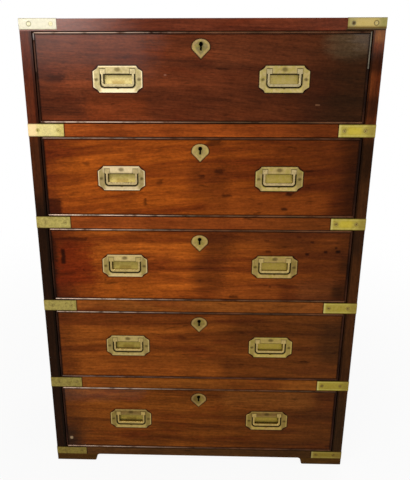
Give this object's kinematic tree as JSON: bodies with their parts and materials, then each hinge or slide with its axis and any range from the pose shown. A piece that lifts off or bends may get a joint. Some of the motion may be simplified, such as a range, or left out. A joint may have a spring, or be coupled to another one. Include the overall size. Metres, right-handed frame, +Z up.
{
  "type": "campaign chest of drawers",
  "caption": "Upright campaign chest of full-width drawers with flush handles, locks and cockbeads, bound at the corners with brass, on low bracket feet.",
  "frame": {"origin": "on the floor under the middle of the chest", "axes": "+Z up, -Y out of the drawer fronts, +X to the viewer's right facing the fronts"},
  "size_m": [0.7632, 0.4582, 1.1161],
  "materials": {
    "mahogany": "old french polish, satin",
    "drawer_lining": "planed, unpolished",
    "carcass_pine": "rough planed, aged",
    "brass": "worn, lightly tarnished",
    "steel": "filed, dull"
  },
  "bodies": {
    "carcass": {"top_board": "mahogany", "side_panel_left": "mahogany", "side_panel_right": "mahogany", "drawer_rail_1": "mahogany", "drawer_rail_2": "mahogany", "drawer_rail_3": "mahogany", "drawer_rail_4": "mahogany", "base_rails": "mahogany", "drawer_runners": "carcass_pine", "bottom_board": "carcass_pine", "back_boards": "carcass_pine", "bracket_feet": "mahogany", "top_corner_brasses": "brass", "corner_straps": "brass", "binding_screws": "brass"},
    "drawer_1": {"drawer_1_front": "mahogany", "drawer_1_sides_and_back": "drawer_lining", "drawer_1_bottom": "drawer_lining", "drawer_1_cockbeads": "mahogany", "drawer_1_handle_plates": "brass", "drawer_1_lock_and_escutcheon": "brass"},
    "drawer_1_bail_left": {"drawer_1_bail_left": "brass"},
    "drawer_1_bail_right": {"drawer_1_bail_right": "brass"},
    "drawer_1_lock_bolt": {"drawer_1_lock_bolt": "steel"},
    "drawer_2": {"drawer_2_front": "mahogany", "drawer_2_sides_and_back": "drawer_lining", "drawer_2_bottom": "drawer_lining", "drawer_2_cockbeads": "mahogany", "drawer_2_handle_plates": "brass", "drawer_2_lock_and_escutcheon": "brass"},
    "drawer_2_bail_left": {"drawer_2_bail_left": "brass"},
    "drawer_2_bail_right": {"drawer_2_bail_right": "brass"},
    "drawer_2_lock_bolt": {"drawer_2_lock_bolt": "steel"},
    "drawer_3": {"drawer_3_front": "mahogany", "drawer_3_sides_and_back": "drawer_lining", "drawer_3_bottom": "drawer_lining", "drawer_3_cockbeads": "mahogany", "drawer_3_handle_plates": "brass", "drawer_3_lock_and_escutcheon": "brass"},
    "drawer_3_bail_left": {"drawer_3_bail_left": "brass"},
    "drawer_3_bail_right": {"drawer_3_bail_right": "brass"},
    "drawer_3_lock_bolt": {"drawer_3_lock_bolt": "steel"},
    "drawer_4": {"drawer_4_front": "mahogany", "drawer_4_sides_and_back": "drawer_lining", "drawer_4_bottom": "drawer_lining", "drawer_4_cockbeads": "mahogany", "drawer_4_handle_plates": "brass", "drawer_4_lock_and_escutcheon": "brass"},
    "drawer_4_bail_left": {"drawer_4_bail_left": "brass"},
    "drawer_4_bail_right": {"drawer_4_bail_right": "brass"},
    "drawer_4_lock_bolt": {"drawer_4_lock_bolt": "steel"},
    "drawer_5": {"drawer_5_front": "mahogany", "drawer_5_sides_and_back": "drawer_lining", "drawer_5_bottom": "drawer_lining", "drawer_5_cockbeads": "mahogany", "drawer_5_handle_plates": "brass", "drawer_5_lock_and_escutcheon": "brass"},
    "drawer_5_bail_left": {"drawer_5_bail_left": "brass"},
    "drawer_5_bail_right": {"drawer_5_bail_right": "brass"},
    "drawer_5_lock_bolt": {"drawer_5_lock_bolt": "steel"}
  },
  "joints": [
    {"name": "drawer_1_slide", "type": "slide", "parent": "carcass", "child": "drawer_1", "axis": [0, -1, 0], "range_m": [0, 0.36]},
    {"name": "drawer_1_bail_left_swing", "type": "hinge", "parent": "drawer_1", "child": "drawer_1_bail_left", "pos_m": [-0.178, -0.2256, 1.0102], "axis": [-1, 0, 0], "range_deg": [0, 90]},
    {"name": "drawer_1_bail_right_swing", "type": "hinge", "parent": "drawer_1", "child": "drawer_1_bail_right", "pos_m": [0.178, -0.2256, 1.0102], "axis": [-1, 0, 0], "range_deg": [0, 90]},
    {"name": "drawer_1_bolt_throw", "type": "slide", "parent": "drawer_1", "child": "drawer_1_lock_bolt", "axis": [0, 0, 1], "range_m": [0, 0.008]},
    {"name": "drawer_2_slide", "type": "slide", "parent": "carcass", "child": "drawer_2", "axis": [0, -1, 0], "range_m": [0, 0.36]},
    {"name": "drawer_2_bail_left_swing", "type": "hinge", "parent": "drawer_2", "child": "drawer_2_bail_left", "pos_m": [-0.178, -0.2256, 0.79495], "axis": [-1, 0, 0], "range_deg": [0, 90]},
    {"name": "drawer_2_bail_right_swing", "type": "hinge", "parent": "drawer_2", "child": "drawer_2_bail_right", "pos_m": [0.178, -0.2256, 0.79495], "axis": [-1, 0, 0], "range_deg": [0, 90]},
    {"name": "drawer_2_bolt_throw", "type": "slide", "parent": "drawer_2", "child": "drawer_2_lock_bolt", "axis": [0, 0, 1], "range_m": [0, 0.008]},
    {"name": "drawer_3_slide", "type": "slide", "parent": "carcass", "child": "drawer_3", "axis": [0, -1, 0], "range_m": [0, 0.36]},
    {"name": "drawer_3_bail_left_swing", "type": "hinge", "parent": "drawer_3", "child": "drawer_3_bail_left", "pos_m": [-0.178, -0.2256, 0.58295], "axis": [-1, 0, 0], "range_deg": [0, 90]},
    {"name": "drawer_3_bail_right_swing", "type": "hinge", "parent": "drawer_3", "child": "drawer_3_bail_right", "pos_m": [0.178, -0.2256, 0.58295], "axis": [-1, 0, 0], "range_deg": [0, 90]},
    {"name": "drawer_3_bolt_throw", "type": "slide", "parent": "drawer_3", "child": "drawer_3_lock_bolt", "axis": [0, 0, 1], "range_m": [0, 0.008]},
    {"name": "drawer_4_slide", "type": "slide", "parent": "carcass", "child": "drawer_4", "axis": [0, -1, 0], "range_m": [0, 0.36]},
    {"name": "drawer_4_bail_left_swing", "type": "hinge", "parent": "drawer_4", "child": "drawer_4_bail_left", "pos_m": [-0.178, -0.2256, 0.36845], "axis": [-1, 0, 0], "range_deg": [0, 90]},
    {"name": "drawer_4_bail_right_swing", "type": "hinge", "parent": "drawer_4", "child": "drawer_4_bail_right", "pos_m": [0.178, -0.2256, 0.36845], "axis": [-1, 0, 0], "range_deg": [0, 90]},
    {"name": "drawer_4_bolt_throw", "type": "slide", "parent": "drawer_4", "child": "drawer_4_lock_bolt", "axis": [0, 0, 1], "range_m": [0, 0.008]},
    {"name": "drawer_5_slide", "type": "slide", "parent": "carcass", "child": "drawer_5", "axis": [0, -1, 0], "range_m": [0, 0.36]},
    {"name": "drawer_5_bail_left_swing", "type": "hinge", "parent": "drawer_5", "child": "drawer_5_bail_left", "pos_m": [-0.178, -0.2256, 0.1522], "axis": [-1, 0, 0], "range_deg": [0, 90]},
    {"name": "drawer_5_bail_right_swing", "type": "hinge", "parent": "drawer_5", "child": "drawer_5_bail_right", "pos_m": [0.178, -0.2256, 0.1522], "axis": [-1, 0, 0], "range_deg": [0, 90]},
    {"name": "drawer_5_bolt_throw", "type": "slide", "parent": "drawer_5", "child": "drawer_5_lock_bolt", "axis": [0, 0, 1], "range_m": [0, 0.008]}
  ]
}
